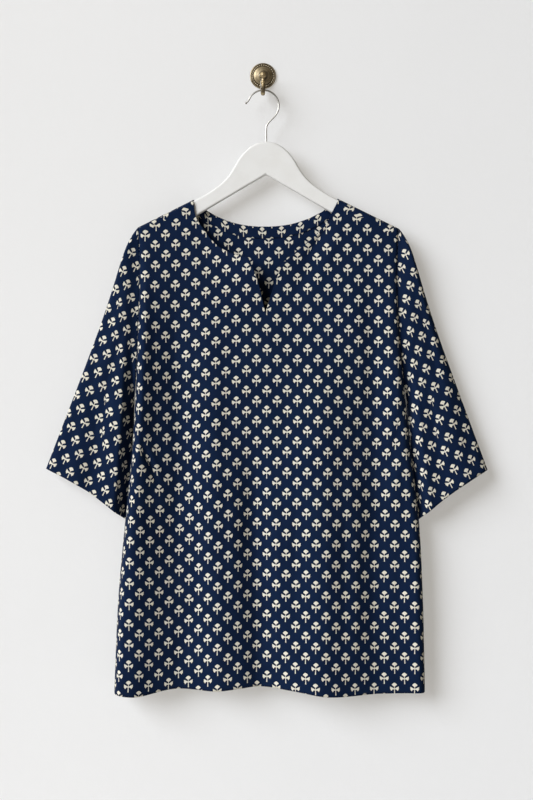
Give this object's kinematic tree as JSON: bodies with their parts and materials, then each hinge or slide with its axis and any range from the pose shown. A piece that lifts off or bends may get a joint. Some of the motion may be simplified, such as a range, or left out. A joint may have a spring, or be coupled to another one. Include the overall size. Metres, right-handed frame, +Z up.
{
  "type": "tunic top on a hanger and wall hook",
  "caption": "Loose A-line tunic with wide elbow sleeves and a slit round neck, on a wooden hanger from a round wall hook.",
  "frame": {"origin": "centre of the wall hook plate's flat back, on the wall", "axes": "+Z is up, +Y points into the wall, so the front faces -Y, and +X is to the viewer's right (the wearer's left)"},
  "size_m": [0.7108, 0.0577, 1.0187],
  "materials": {
    "printed_cotton": "matt woven cotton, navy with a cream flower and leaf repeat",
    "facing_cotton": "matt woven cotton",
    "white_paint": "satin white paint on wood",
    "polished_steel": "bright drawn wire",
    "aged_brass": "aged, dull in the grooves"
  },
  "bodies": {
    "root": {"front_panel": "printed_cotton", "back_panel": "printed_cotton", "sleeve_right": "printed_cotton", "sleeve_left": "printed_cotton", "neck_facing": "facing_cotton", "hanger_body": "white_paint", "hanger_hook": "polished_steel", "hook_plate": "aged_brass", "hook_arm": "aged_brass"}
  },
  "joints": []
}
